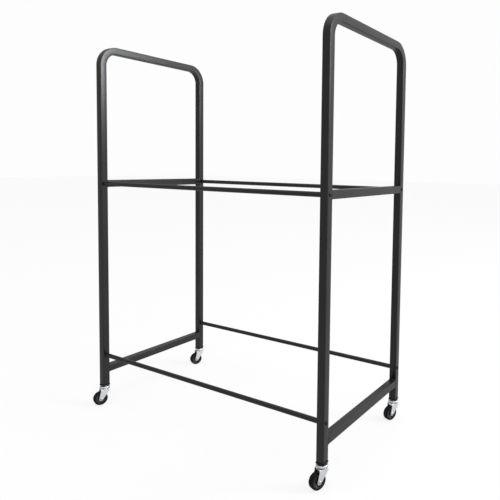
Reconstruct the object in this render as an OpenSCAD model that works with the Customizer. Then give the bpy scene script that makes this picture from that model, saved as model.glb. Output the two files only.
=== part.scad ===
// Rolling two-tier rack that stores tyres upright. Two bent side hoops of square tube, each
// with two welded cross bars, are joined by four long round rails that the tyres sit between.
// Four swivel stem casters plug into the lower ends of the hoops.
// Origin: on the floor, in the middle of the whole rack's outline with its casters as they stand.
// +X runs along the rails to the right-hand hoop, +Y to the rear, +Z up. Millimetres.

/* [Frame] */
// Overall length of the frame, over the outer faces of the two hoops
frame_length = 1052; // [800:2:1600]
// Overall depth of a hoop, front to rear
frame_depth = 542; // [440:2:700]
// Height of a hoop above its open lower ends
hoop_height = 1331; // [1150:1:1800]
// Outside size of the square tube
tube_size = 27; // [24:0.5:30]
// Wall thickness of the square tube
tube_wall = 1.5; // [1.2:0.1:2]
// Outside radius of the square tube's long edges
tube_edge_radius = 2.2; // [2.2:0.1:3]
// Outside radius of the two bends at the top of a hoop
bend_radius = 76; // [60:1:120]

/* [Bars and rails] */
// Height above the floor of the middle of the upper rails and upper cross bars
upper_height = 880; // [700:5:1000]
// Height above the floor of the middle of the lower rails
lower_rail_height = 200; // [190:1:300]
// Height above the floor of the middle of the lower cross bars
lower_bar_height = 142; // [130:1:160]
// Outside diameter of a long rail
rail_diameter = 16; // [15:0.5:18]
// Wall thickness of a long rail
rail_wall = 1.2; // [1:0.1:1.5]

/* [Casters] */
// Height of the hoops' lower ends above the floor
caster_height = 80; // [80:0.5:86]
// Diameter of a caster wheel over its tread
wheel_diameter = 52; // [46:0.5:53]
// Width of a caster wheel's tread
wheel_width = 20; // [18:0.5:21]
// Horizontal distance from the swivel axis to the wheel's axle
caster_trail = 17; // [14:0.5:18]
// Heading in which all four casters trail, turned from +X towards +Y
caster_heading = 248; // [180:1:359]

/* [Hidden] */

charcoal = [0.13, 0.13, 0.14];
black_plastic = [0.05, 0.05, 0.055];
black_steel = [0.08, 0.08, 0.085];
zinc = [0.78, 0.8, 0.82];
bright_steel = [0.62, 0.63, 0.65];
rubber_black = [0.06, 0.06, 0.065];
hub_dark = [0.16, 0.165, 0.175];
bronze = [0.6, 0.48, 0.26];

// Caster sizes that follow from those above
fork_gap = 2;
fork_sheet = 2;
fork_half = wheel_width / 2 + fork_gap + fork_sheet;
rivet_head = 2.4;
rivet_head_radius = 5.5;
collar_height = 4.5;
flange_height = 4;
flange_lip = 1.5;
stem_radius = 5.4;
socket_bore = 5.5;
cup_top = caster_height - collar_height - 2;
cup_sheet = 1.6;
cup_radius = 19;
cup_drop = 6;
ball_radius = 2;
ball_circle = 10.4;
ball_count = 12;
plateau_top = cup_top - cup_sheet - 2 * ball_radius - 0.1;
plateau_radius = 13;
crown_top = plateau_top - 3.8;
crown_radius = 18.5;
kingpin_radius = 4;
axle_height = wheel_diameter / 2;
boss_radius = 7.5;
axle_radius = 3.5;
bush_radius = 5;
hub_radius = wheel_diameter / 2 - 6.5;

// How far a caster's wheel and fork stand out from its leg's centre line
reach_x = caster_trail * cos(caster_heading);
reach_y = caster_trail * sin(caster_heading);
side_x = max(
    wheel_diameter / 2 * abs(cos(caster_heading)) + wheel_width / 2 * abs(sin(caster_heading)),
    (fork_half + rivet_head) * abs(sin(caster_heading))
);
side_y = wheel_diameter / 2 * abs(sin(caster_heading))
    + wheel_width / 2 * abs(cos(caster_heading));
bolt_head_height = 3.3;

// Centre lines of the legs
leg_x = frame_length / 2 - tube_size / 2;
leg_y = frame_depth / 2 - tube_size / 2;

// How far the rack reaches from the middle of its legs, and its shift that centres the outline
low_x = min(-frame_length / 2 - bolt_head_height, -leg_x - cup_radius, -leg_x + reach_x - side_x);
high_x = max(frame_length / 2 + bolt_head_height, leg_x + cup_radius, leg_x + reach_x + side_x);
low_y = min(-frame_depth / 2, -leg_y - cup_radius, -leg_y + reach_y - side_y);
high_y = max(frame_depth / 2, leg_y + cup_radius, leg_y + reach_y + side_y);
frame_x = -round(low_x + high_x) / 2;
frame_y = -round(low_y + high_y) / 2;

// Heights and clear sizes that the legs, rails and bars share
top_z = caster_height + hoop_height;
inner_length = frame_length - 2 * tube_size;
inner_depth = frame_depth - 2 * tube_size;

front_left = [-1, -1];
front_right = [1, -1];
rear_left = [-1, 1];
rear_right = [1, 1];
corners = [front_left, front_right, rear_left, rear_right];

smooth = 64;
fine = 32;

// A square with rounded corners, centred
module rounded_square(size, radius) {
    inner = size / 2 - radius;
    square([size, 2 * inner], center = true);
    square([2 * inner, size], center = true);
    for (sx = [-1, 1])
        for (sy = [-1, 1])
            translate([sx * inner, sy * inner])
                circle(r = radius, $fn = fine);
}

// Section of the square tube
module tube_section() {
    difference() {
        rounded_square(tube_size, tube_edge_radius);
        rounded_square(tube_size - 2 * tube_wall, tube_edge_radius - tube_wall);
    }
}

// A quarter bend of square tube in the YZ plane, from +Y round to +Z
module tube_bend() {
    rotate([90, 0, 90])
        rotate_extrude(angle = 90, $fn = smooth)
            translate([bend_radius - tube_size / 2, 0])
                tube_section();
}

// Bolt hole through both walls of a leg, along X
module leg_bolt_hole(y, z) {
    translate([-tube_size, y, z])
        rotate([0, 90, 0])
            cylinder(r = 3.3, h = 2 * tube_size, $fn = fine);
}

// A whole hoop in its own plane, standing over x = 0
module hoop() {
    straight = hoop_height - bend_radius;
    difference() {
        union() {
            for (side = [-1, 1])
                translate([0, side * leg_y, caster_height])
                    linear_extrude(straight)
                        tube_section();
            translate([0, frame_depth / 2 - bend_radius, top_z - bend_radius])
                tube_bend();
            mirror([0, 1, 0])
                translate([0, frame_depth / 2 - bend_radius, top_z - bend_radius])
                    tube_bend();
            translate([0, -frame_depth / 2 + bend_radius, top_z - tube_size / 2])
                rotate([-90, 0, 0])
                    linear_extrude(frame_depth - 2 * bend_radius)
                        tube_section();
        }
        for (side = [-1, 1]) {
            leg_bolt_hole(side * leg_y, upper_height);
            leg_bolt_hole(side * leg_y, lower_rail_height);
        }
    }
}

module left_hoop() {
    color(charcoal)
        translate([frame_x - leg_x, frame_y, 0])
            hoop();
}

module right_hoop() {
    color(charcoal)
        translate([frame_x + leg_x, frame_y, 0])
            hoop();
}

// A cross bar between the two legs of a hoop
module crossbar(side, z) {
    color(charcoal)
        translate([frame_x + side * leg_x, frame_y - inner_depth / 2, z])
            rotate([-90, 0, 0])
                linear_extrude(inner_depth)
                    tube_section();
}

module left_upper_crossbar() {
    crossbar(-1, upper_height);
}

module right_upper_crossbar() {
    crossbar(1, upper_height);
}

module left_lower_crossbar() {
    crossbar(-1, lower_bar_height);
}

module right_lower_crossbar() {
    crossbar(1, lower_bar_height);
}

// A long rail between the two hoops
module rail(side, z) {
    color(charcoal)
        translate([frame_x - inner_length / 2, frame_y + side * leg_y, z])
            rotate([0, 90, 0])
                linear_extrude(inner_length)
                    difference() {
                        circle(d = rail_diameter, $fn = smooth);
                        circle(d = rail_diameter - 2 * rail_wall, $fn = smooth);
                    }
}

module front_upper_rail() {
    rail(-1, upper_height);
}

module rear_upper_rail() {
    rail(1, upper_height);
}

module front_lower_rail() {
    rail(-1, lower_rail_height);
}

module rear_lower_rail() {
    rail(1, lower_rail_height);
}

// Puts a child at the outer face of each leg where a rail is bolted on, +X pointing inwards
module at_rail_ends() {
    for (corner = corners)
        for (z = [upper_height, lower_rail_height])
            translate([frame_x + corner[0] * frame_length / 2, frame_y + corner[1] * leg_y, z])
                rotate([0, 0, corner[0] > 0 ? 180 : 0])
                    children();
}

// Threaded plugs pressed into the ends of the rails
module rail_end_inserts() {
    color(black_steel)
        at_rail_ends()
            translate([tube_size, 0, 0])
                rotate([0, 90, 0])
                    difference() {
                        cylinder(r = rail_diameter / 2 - rail_wall - 0.03, h = 24, $fn = smooth);
                        translate([0, 0, -1])
                            cylinder(r = 3.05, h = 26, $fn = fine);
                    }
}

// Button-head bolts that hold the rails to the legs
module rail_bolts() {
    color(black_steel)
        at_rail_ends()
            rotate([0, 90, 0])
                difference() {
                    union() {
                        translate([0, 0, -0.8])
                            cylinder(r = 5.4, h = 0.8, $fn = fine);
                        translate([0, 0, -bolt_head_height])
                            cylinder(r1 = 3.6, r2 = 5.4, h = bolt_head_height - 0.8, $fn = fine);
                        cylinder(r = 3, h = tube_size + 18, $fn = fine);
                    }
                    translate([0, 0, -bolt_head_height - 1])
                        cylinder(r = 2.3, h = 3, $fn = 6);
                }
}

// Puts a child at a leg's foot on the floor, with +X along the caster's trailing direction
module at_caster(corner) {
    translate([frame_x + corner[0] * leg_x, frame_y + corner[1] * leg_y, 0])
        rotate([0, 0, caster_heading])
            children();
}

// Plastic plug that fills the end of a leg and takes the caster's stem
module caster_socket(corner) {
    plug = tube_size - 2 * tube_wall - 0.06;
    color(black_plastic)
        translate([frame_x + corner[0] * leg_x, frame_y + corner[1] * leg_y, 0])
            difference() {
                union() {
                    translate([0, 0, caster_height])
                        linear_extrude(26)
                            rounded_square(plug, tube_edge_radius - tube_wall);
                    translate([0, 0, caster_height - flange_height])
                        linear_extrude(flange_height)
                            rounded_square(tube_size + 2 * flange_lip, tube_edge_radius + flange_lip);
                    translate([0, 0, caster_height - collar_height])
                        cylinder(r = 11, h = collar_height - flange_height + 0.1, $fn = smooth);
                }
                translate([0, 0, caster_height - collar_height - 1])
                    cylinder(r = socket_bore, h = collar_height + 25, $fn = fine);
            }
}

// Steel stem, shoulder and kingpin in one piece, riveted over under the fork
module caster_stem(corner) {
    color(bright_steel)
        at_caster(corner) {
            translate([0, 0, cup_top + 2])
                cylinder(r = stem_radius, h = collar_height + 20, $fn = fine);
            translate([0, 0, cup_top + collar_height + 22])
                cylinder(r1 = stem_radius, r2 = stem_radius - 1.5, h = 1.5, $fn = fine);
            translate([0, 0, cup_top])
                cylinder(r = 9, h = 2, $fn = fine);
            translate([0, 0, plateau_top + 0.2])
                cylinder(r = 4.9, h = cup_top - plateau_top - 0.2, $fn = fine);
            translate([0, 0, plateau_top - 4])
                cylinder(r = kingpin_radius, h = 4.5, $fn = fine);
            translate([0, 0, plateau_top - 4.6])
                cylinder(r1 = 5, r2 = 6.5, h = 1, $fn = fine);
            translate([0, 0, plateau_top - 3.6])
                cylinder(r = 6.5, h = 1.3, $fn = fine);
        }
}

// Pressed cup that covers the ball race from above
module race_cup(corner) {
    inside = cup_radius - cup_sheet;
    color(zinc)
        at_caster(corner)
            rotate_extrude($fn = smooth)
                difference() {
                    union() {
                        translate([4.95, cup_top - cup_drop])
                            square([cup_radius - 3 - 4.95, cup_drop]);
                        translate([4.95, cup_top - cup_drop])
                            square([cup_radius - 4.95, cup_drop - 3]);
                        translate([cup_radius - 3, cup_top - 3])
                            circle(r = 3, $fn = fine);
                    }
                    translate([0, cup_top - cup_drop - 1])
                        square([inside, cup_drop - cup_sheet - 1.4]);
                    translate([0, cup_top - cup_drop - 1])
                        square([inside - 1.4, cup_drop - cup_sheet + 1]);
                    translate([inside - 1.4, cup_top - cup_sheet - 1.4])
                        circle(r = 1.4, $fn = fine);
                }
}

// Ring of bearing balls between the cup and the fork's crown
module bearing_balls(corner) {
    color(bright_steel)
        at_caster(corner)
            for (i = [0 : ball_count - 1])
                rotate([0, 0, i * 360 / ball_count])
                    translate([ball_circle, 0, plateau_top + ball_radius + 0.05])
                        sphere(r = ball_radius, $fn = 20);
}

// Side view of a fork leg, in the plane of the wheel
module leg_outline() {
    reach = caster_trail;
    polygon([
        [-15, crown_top],
        [-15, crown_top - 6],
        [reach + boss_radius * cos(214), axle_height + boss_radius * sin(214)],
        [reach + boss_radius * cos(5), axle_height + boss_radius * sin(5)],
        [18, crown_top - 7],
        [18, crown_top]
    ]);
    translate([reach, axle_height])
        circle(r = boss_radius, $fn = smooth);
}

// End view of the folded sheet: two legs and the crown that joins them
module fold_outline(half, top, corner_radius) {
    low = axle_height - boss_radius - 2;
    translate([-half, low])
        square([2 * half, top - corner_radius - low]);
    translate([-half + corner_radius, low])
        square([2 * (half - corner_radius), top - low]);
    for (side = [-1, 1])
        translate([side * (half - corner_radius), top - corner_radius])
            circle(r = corner_radius, $fn = fine);
}

// Pressed steel fork with its round crown and raised ball track
module caster_fork(corner) {
    color(zinc)
        at_caster(corner)
            difference() {
                union() {
                    intersection() {
                        rotate([90, 0, 90])
                            translate([0, 0, -30])
                                linear_extrude(70)
                                    difference() {
                                        fold_outline(fork_half, crown_top, 4);
                                        translate([0, -fork_sheet])
                                            fold_outline(fork_half - fork_sheet, crown_top, 2);
                                    }
                        rotate([90, 0, 0])
                            translate([0, 0, -30])
                                linear_extrude(60)
                                    leg_outline();
                    }
                    translate([0, 0, crown_top - fork_sheet])
                        cylinder(r = crown_radius, h = fork_sheet, $fn = smooth);
                    translate([0, 0, crown_top - fork_sheet])
                        cylinder(r = plateau_radius, h = plateau_top - crown_top + fork_sheet, $fn = smooth);
                }
                translate([0, 0, crown_top - fork_sheet - 1])
                    cylinder(r = plateau_radius - 2, h = plateau_top - crown_top + 1, $fn = smooth);
                translate([0, 0, crown_top - fork_sheet])
                    cylinder(r = kingpin_radius + 0.08, h = 20, $fn = fine);
                translate([caster_trail, -30, axle_height])
                    rotate([-90, 0, 0])
                        cylinder(r = axle_radius + 0.02, h = 60, $fn = fine);
            }
}

// Lays a child along the wheel's axle, centred on the wheel
module at_axle(corner) {
    at_caster(corner)
        translate([caster_trail, 0, axle_height])
            rotate([-90, 0, 0])
                children();
}

// Axle rivet with a domed head on each side of the fork
module caster_axle(corner) {
    color(bright_steel)
        at_axle(corner) {
            translate([0, 0, -fork_half])
                cylinder(r = axle_radius, h = 2 * fork_half, $fn = fine);
            for (side = [0, 1])
                mirror([0, 0, side])
                    translate([0, 0, fork_half]) {
                        cylinder(r = rivet_head_radius, h = 0.8, $fn = fine);
                        translate([0, 0, 0.8])
                            cylinder(r1 = rivet_head_radius, r2 = 3, h = rivet_head - 0.8, $fn = fine);
                    }
        }
}

// Plain sleeve on the axle that keeps the fork's legs apart and that the hub turns on
module axle_bush(corner) {
    length = 2 * (wheel_width / 2 + fork_gap) - 0.04;
    color(bronze)
        at_axle(corner)
            difference() {
                cylinder(r = bush_radius, h = length, center = true, $fn = fine);
                cylinder(r = axle_radius + 0.03, h = length + 2, center = true, $fn = fine);
            }
}

// Moulded hub: rim, web and boss
module wheel_hub(corner) {
    color(hub_dark)
        at_axle(corner)
            difference() {
                union() {
                    cylinder(r = hub_radius, h = wheel_width - 2, center = true, $fn = smooth);
                    cylinder(r = 8, h = wheel_width + 3, center = true, $fn = smooth);
                }
                for (side = [0, 1])
                    mirror([0, 0, side])
                        translate([0, 0, 3])
                            difference() {
                                cylinder(r = hub_radius - 2.5, h = wheel_width, $fn = smooth);
                                translate([0, 0, -1])
                                    cylinder(r = 8, h = wheel_width + 2, $fn = smooth);
                            }
                cylinder(r = bush_radius + 0.08, h = 2 * wheel_width, center = true, $fn = fine);
            }
}

// Rubber tyre of the caster wheel, with rounded shoulders
module wheel_tread(corner) {
    shoulder = 3;
    depth = wheel_diameter / 2 - hub_radius;
    half = wheel_width / 2;
    color(rubber_black)
        at_axle(corner)
            rotate_extrude($fn = smooth) {
                translate([hub_radius, -half])
                    square([depth - shoulder, wheel_width]);
                translate([hub_radius, -half + shoulder])
                    square([depth, wheel_width - 2 * shoulder]);
                for (side = [-1, 1])
                    translate([hub_radius + depth - shoulder, side * (half - shoulder)])
                        circle(r = shoulder, $fn = fine);
            }
}

left_hoop();
right_hoop();
left_upper_crossbar();
right_upper_crossbar();
left_lower_crossbar();
right_lower_crossbar();
front_upper_rail();
rear_upper_rail();
front_lower_rail();
rear_lower_rail();
rail_end_inserts();
rail_bolts();
caster_socket(front_left);  // front_left_socket
caster_stem(front_left);  // front_left_stem
race_cup(front_left);  // front_left_race_cup
bearing_balls(front_left);  // front_left_balls
caster_fork(front_left);  // front_left_fork
caster_axle(front_left);  // front_left_axle
axle_bush(front_left);  // front_left_bush
wheel_hub(front_left);  // front_left_hub
wheel_tread(front_left);  // front_left_tread
caster_socket(front_right);  // front_right_socket
caster_stem(front_right);  // front_right_stem
race_cup(front_right);  // front_right_race_cup
bearing_balls(front_right);  // front_right_balls
caster_fork(front_right);  // front_right_fork
caster_axle(front_right);  // front_right_axle
axle_bush(front_right);  // front_right_bush
wheel_hub(front_right);  // front_right_hub
wheel_tread(front_right);  // front_right_tread
caster_socket(rear_left);  // rear_left_socket
caster_stem(rear_left);  // rear_left_stem
race_cup(rear_left);  // rear_left_race_cup
bearing_balls(rear_left);  // rear_left_balls
caster_fork(rear_left);  // rear_left_fork
caster_axle(rear_left);  // rear_left_axle
axle_bush(rear_left);  // rear_left_bush
wheel_hub(rear_left);  // rear_left_hub
wheel_tread(rear_left);  // rear_left_tread
caster_socket(rear_right);  // rear_right_socket
caster_stem(rear_right);  // rear_right_stem
race_cup(rear_right);  // rear_right_race_cup
bearing_balls(rear_right);  // rear_right_balls
caster_fork(rear_right);  // rear_right_fork
caster_axle(rear_right);  // rear_right_axle
axle_bush(rear_right);  // rear_right_bush
wheel_hub(rear_right);  // rear_right_hub
wheel_tread(rear_right);  // rear_right_tread
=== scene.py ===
"""Looks of a rolling two-tier tyre rack: tube frame, bolted rails, welds and four stem casters."""

import logging
import math
from collections.abc import Callable, Iterator
from contextlib import contextmanager
from dataclasses import dataclass, field
from enum import Enum

import bmesh
import bpy
from mathutils import Matrix, Vector


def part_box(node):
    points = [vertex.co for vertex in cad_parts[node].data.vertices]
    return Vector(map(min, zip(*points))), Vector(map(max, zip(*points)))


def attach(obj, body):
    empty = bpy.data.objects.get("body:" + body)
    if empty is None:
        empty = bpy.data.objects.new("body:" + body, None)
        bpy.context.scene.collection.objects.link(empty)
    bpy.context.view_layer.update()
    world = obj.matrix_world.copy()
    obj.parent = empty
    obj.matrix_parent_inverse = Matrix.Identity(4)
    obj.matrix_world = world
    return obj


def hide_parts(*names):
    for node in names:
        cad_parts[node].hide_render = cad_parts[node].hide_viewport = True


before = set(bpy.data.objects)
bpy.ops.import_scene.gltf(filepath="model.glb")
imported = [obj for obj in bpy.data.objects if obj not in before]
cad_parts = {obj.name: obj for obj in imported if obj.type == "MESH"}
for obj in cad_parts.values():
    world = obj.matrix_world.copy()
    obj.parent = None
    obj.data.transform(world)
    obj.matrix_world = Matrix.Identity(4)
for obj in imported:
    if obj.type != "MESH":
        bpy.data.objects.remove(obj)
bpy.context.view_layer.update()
MM = 0.001

Triple = tuple[float, float, float]
Colour = Triple
Point = tuple[float, float]
log = logging.getLogger("tyre_rack")


class Side(Enum):
    """The two ends of the rack."""

    LEFT = "left"
    RIGHT = "right"

    @property
    def outward(self) -> float:
        """Sign of the side's outward direction along X."""
        return 1.0 if self is Side.RIGHT else -1.0


class Row(Enum):
    """The front and the rear legs and rails."""

    FRONT = "front"
    REAR = "rear"


class Tier(Enum):
    """The two levels that hold tyres."""

    UPPER = "upper"
    LOWER = "lower"


# ---------------------------------------------------------------- finishes


class Level:
    """A number that varies over a surface; arithmetic on it adds Math nodes to its sheet."""

    def __init__(self, sheet: "FinishSheet", socket: bpy.types.NodeSocket) -> None:
        """Wraps a socket.

        Args:
            sheet: The finish that the socket belongs to.
            socket: The output that gives the number.
        """
        self.sheet = sheet
        self.socket = socket

    def math(self, operation: str, *terms: "Level | float", clamp: bool = False) -> "Level":
        """Adds one Math node.

        Args:
            operation: The Math node's operation.
            terms: Its inputs in order.
            clamp: True to keep the result from 0 to 1.

        Returns:
            The node's result.
        """
        settings = {"operation": operation, "use_clamp": clamp}
        node = self.sheet.node("ShaderNodeMath", settings, dict(enumerate(terms)))
        return Level(self.sheet, node.outputs[0])

    def __add__(self, other: "Level | float") -> "Level":
        """Sum with another number."""
        return self.math("ADD", self, other)

    __radd__ = __add__

    def __mul__(self, other: "Level | float") -> "Level":
        """Product with another number."""
        return self.math("MULTIPLY", self, other)

    __rmul__ = __mul__

    def __sub__(self, other: "Level | float") -> "Level":
        """This number less another."""
        return self.math("SUBTRACT", self, other)

    def __rsub__(self, other: "Level | float") -> "Level":
        """Another number less this one."""
        return self.math("SUBTRACT", other, self)

    def between(self, low: float, high: float) -> "Level":
        """A smooth rise from 0 at low to 1 at high.

        Args:
            low: Where the rise starts.
            high: Where it ends.

        Returns:
            The rise, from 0 to 1.
        """
        settings = {"interpolation_type": "SMOOTHSTEP"}
        inputs = {"Value": self, "From Min": low, "From Max": high}
        return Level(self.sheet, self.sheet.node("ShaderNodeMapRange", settings, inputs).outputs[0])


class FinishSheet:
    """The node tree of one finish, built around a Principled shader."""

    def __init__(self, name: str) -> None:
        """Starts a material.

        Args:
            name: The material's name.
        """
        self.material = bpy.data.materials.new(name)
        self.material.use_nodes = True
        self.tree = self.material.node_tree
        self.tree.nodes.clear()
        self.shader = self.node("ShaderNodeBsdfPrincipled")
        self.node("ShaderNodeOutputMaterial", inputs={"Surface": self.shader.outputs[0]})
        self.place = self.node("ShaderNodeTexCoord").outputs["Object"]

    def node(self, kind: str, settings: dict | None = None, inputs: dict | None = None) -> bpy.types.Node:
        """Adds any node.

        Args:
            kind: The node's type.
            settings: Its properties, which are set first.
            inputs: Values, levels or sockets by input name or number.

        Returns:
            The new node.
        """
        made = self.tree.nodes.new(kind)
        for key, value in (settings or {}).items():
            setattr(made, key, value)
        for key, value in (inputs or {}).items():
            self.feed(made.inputs[key], value)
        return made

    def feed(self, socket: bpy.types.NodeSocket, value: object) -> None:
        """Links or sets one input.

        Args:
            socket: The input.
            value: A level or an output to link, or a plain value.
        """
        if isinstance(value, Level):
            value = value.socket
        if isinstance(value, bpy.types.NodeSocket):
            self.tree.links.new(value, socket)
        else:
            socket.default_value = value

    def noise(self, size: float, detail: float = 2.0, stretch: Triple = (1.0, 1.0, 1.0)) -> Level:
        """Noise on the piece's own coordinates.

        Args:
            size: Rough size of one blotch, in metres.
            detail: How many finer layers are added.
            stretch: How many times longer a blotch is along X, Y and Z.

        Returns:
            The noise, around 0.5.
        """
        scale = tuple(1 / s for s in stretch)
        mapped = self.node("ShaderNodeMapping", inputs={"Vector": self.place, "Scale": scale})
        inputs = {"Vector": mapped.outputs[0], "Scale": 1 / size, "Detail": detail}
        return Level(self, self.node("ShaderNodeTexNoise", inputs=inputs).outputs["Fac"])

    def cells(self, size: float) -> Level:
        """Distance to the nearest of many scattered points.

        Args:
            size: Rough distance between the points, in metres.

        Returns:
            The distance, as a share of the size.
        """
        node = self.node("ShaderNodeTexVoronoi", inputs={"Vector": self.place, "Scale": 1 / size})
        return Level(self, node.outputs["Distance"])

    def facing(self, axis: int) -> Level:
        """The surface's normal along one axis.

        Args:
            axis: 0, 1 or 2 for X, Y or Z.

        Returns:
            The normal's share, from -1 to 1.
        """
        normal = self.node("ShaderNodeNewGeometry").outputs["Normal"]
        split = self.node("ShaderNodeSeparateXYZ", inputs={"Vector": normal})
        return Level(self, split.outputs[axis])

    def mixed(self, share: Level, first: object, second: object) -> bpy.types.NodeSocket:
        """Blends two colours.

        Args:
            share: 0 for the first colour, 1 for the second.
            first: A colour, or a colour's socket.
            second: The same.

        Returns:
            The blended colour's socket.
        """
        ends = [(*c, 1.0) if isinstance(c, tuple) else c for c in (first, second)]
        settings = {"data_type": "RGBA", "clamp_factor": True}
        node = self.node("ShaderNodeMix", settings, {"Factor": share, 6: ends[0], 7: ends[1]})
        return node.outputs[2]

    def finish(self, bump: list[tuple[Level, float]], **shader: object) -> bpy.types.Material:
        """Sets the shader and completes the material.

        Args:
            bump: Height patterns and their depths in metres, coarsest first.
            shader: Values or links of the shader's inputs, with _ for a space.

        Returns:
            The finished material.
        """
        normal = None
        for pattern, depth in bump:
            inputs = {"Height": pattern, "Distance": depth, "Strength": 1.0}
            if normal is not None:
                inputs["Normal"] = normal
            normal = self.node("ShaderNodeBump", inputs=inputs).outputs[0]
        if normal is not None:
            self.feed(self.shader.inputs["Normal"], normal)
        for key, value in shader.items():
            if isinstance(value, tuple):
                value = (*value, 1.0)
            self.feed(self.shader.inputs[key.replace("_", " ")], value)
        return self.material


@dataclass(frozen=True)
class PowderCoat:
    """Satin charcoal powder coat, with orange peel, a few fine scratches and lighter edges that are partly
    rubbed wear and partly a painted edge highlight.
    """

    name: str = "satin_powder_coat"
    charcoal: Colour = (0.0088, 0.0090, 0.0102)
    cloudy: Colour = (0.0120, 0.0123, 0.0138)
    # Lighter charcoal for the edges: partly rubbed paint, partly a painted highlight along the tube edges.
    rubbed: Colour = (0.026, 0.026, 0.028)
    gloss: float = 0.245
    peel_size: float = 4.0 * MM
    peel_depth: float = 0.006 * MM
    grain_size: float = 0.8 * MM
    grain_depth: float = 0.0006 * MM

    def make(self) -> bpy.types.Material:
        """Builds the material.

        Returns:
            The material.
        """
        sheet = FinishSheet(self.name)
        # Edge mask from the normal's X share: 1 on the rounded tube edges, 0 on the flat faces.
        across = sheet.facing(0)
        squared = across * across
        edge = (squared * (1.0 - squared) * 4.0).between(0.55, 1.0)
        clouds = sheet.noise(90 * MM, 3.0)
        patches = sheet.noise(14 * MM, 4.0)
        scratch = sheet.noise(1.2 * MM, 1.0, stretch=(22.0, 22.0, 3.0)).between(0.70, 0.76)
        # Patchy lighter edges: partly rubbed wear, partly a painted edge highlight that stands in for the
        # light lines along the edges.
        edge_wear_and_highlight = edge * patches.between(0.35, 0.70)
        body = sheet.mixed(clouds.between(0.3, 0.7), self.charcoal, self.cloudy)
        # This mix carries the painted edge highlight together with the scratches.
        wear = edge_wear_and_highlight + scratch * 0.15
        colour = sheet.mixed(wear, body, self.rubbed)
        roughness = self.gloss + patches * 0.03 + clouds * 0.05 - edge_wear_and_highlight * 0.03 + scratch * 0.04
        peel = sheet.noise(self.peel_size, 1.0)
        grain = sheet.noise(self.grain_size, 2.0)
        return sheet.finish(
            [(peel, self.peel_depth), (grain, self.grain_depth)],
            Base_Color=colour,
            Roughness=roughness,
            Specular_IOR_Level=0.5,
        )


@dataclass(frozen=True)
class ZincPlate:
    """Bright zinc plate on pressed steel, with faint cloudy passivation and rub marks."""

    name: str = "bright_zinc_plate"
    bright: Colour = (0.95, 0.96, 0.98)
    dull: Colour = (0.80, 0.82, 0.86)

    def make(self) -> bpy.types.Material:
        """Builds the material.

        Returns:
            The material.
        """
        sheet = FinishSheet(self.name)
        clouds = sheet.noise(7 * MM, 4.0)
        spangle = sheet.cells(1.6 * MM)
        rub = sheet.noise(0.5 * MM, 2.0, stretch=(1.0, 1.0, 14.0))
        colour = sheet.mixed(clouds.between(0.35, 0.75) * 0.7 + spangle * 0.15, self.bright, self.dull)
        return sheet.finish(
            [(clouds, 0.02 * MM), (rub, 0.006 * MM)],
            Base_Color=colour,
            Metallic=1.0,
            Roughness=0.20 + clouds * 0.12 + rub * 0.08,
        )


@dataclass(frozen=True)
class TurnedSteel:
    """Bare turned steel with fine rings and a little oil."""

    name: str = "turned_steel"
    clean: Colour = (0.62, 0.62, 0.63)
    oily: Colour = (0.34, 0.32, 0.29)

    def make(self) -> bpy.types.Material:
        """Builds the material.

        Returns:
            The material.
        """
        sheet = FinishSheet(self.name)
        rings = sheet.noise(0.25 * MM, 1.0, stretch=(30.0, 30.0, 1.0))
        stain = sheet.noise(5 * MM, 4.0)
        return sheet.finish(
            [(rings, 0.008 * MM)],
            Base_Color=sheet.mixed(stain.between(0.45, 0.75), self.clean, self.oily),
            Metallic=1.0,
            Roughness=0.24 + rings * 0.14 + stain * 0.10,
        )


@dataclass(frozen=True)
class BlackOxide:
    """Black oxide on steel fasteners, slightly brown where it has rubbed."""

    name: str = "black_oxide"
    black: Colour = (0.030, 0.030, 0.033)
    rubbed: Colour = (0.11, 0.10, 0.095)

    def make(self) -> bpy.types.Material:
        """Builds the material.

        Returns:
            The material.
        """
        sheet = FinishSheet(self.name)
        wear = sheet.noise(2.2 * MM, 4.0).between(0.52, 0.78)
        grain = sheet.noise(0.3 * MM, 2.0)
        return sheet.finish(
            [(grain, 0.006 * MM)],
            Base_Color=sheet.mixed(wear, self.black, self.rubbed),
            Metallic=0.85,
            Roughness=0.34 + wear * 0.12 + grain * 0.08,
        )


@dataclass(frozen=True)
class MouldedPlastic:
    """Injection-moulded plastic with a fine spark-eroded texture and faint flow marks."""

    name: str
    base: Colour
    scuffed: Colour
    gloss: float = 0.38

    def make(self) -> bpy.types.Material:
        """Builds the material.

        Returns:
            The material.
        """
        sheet = FinishSheet(self.name)
        flow = sheet.noise(9 * MM, 3.0)
        scuff = sheet.noise(1.1 * MM, 5.0).between(0.60, 0.80)
        texture = sheet.noise(0.22 * MM, 2.0)
        return sheet.finish(
            [(flow, 0.03 * MM), (texture, 0.012 * MM)],
            Base_Color=sheet.mixed(scuff * 0.5 + flow * 0.3, self.base, self.scuffed),
            Roughness=self.gloss + flow * 0.08 + scuff * 0.12,
        )


@dataclass(frozen=True)
class TreadRubber:
    """Black rubber that has rolled on a workshop floor: dusty where it touches it."""

    name: str = "tread_rubber"
    black: Colour = (0.0022, 0.0022, 0.0024)
    dusty: Colour = (0.009, 0.0088, 0.0085)

    def make(self) -> bpy.types.Material:
        """Builds the material.

        Returns:
            The material.
        """
        sheet = FinishSheet(self.name)
        dust = sheet.noise(4 * MM, 5.0).between(0.50, 0.85)
        pores = sheet.cells(0.7 * MM)
        grain = sheet.noise(0.35 * MM, 3.0)
        return sheet.finish(
            [(pores, 0.02 * MM), (grain, 0.015 * MM)],
            Base_Color=sheet.mixed(dust * 0.6, self.black, self.dusty),
            Roughness=0.52 + dust * 0.22 + grain * 0.08,
            Specular_IOR_Level=0.2,
        )


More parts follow.
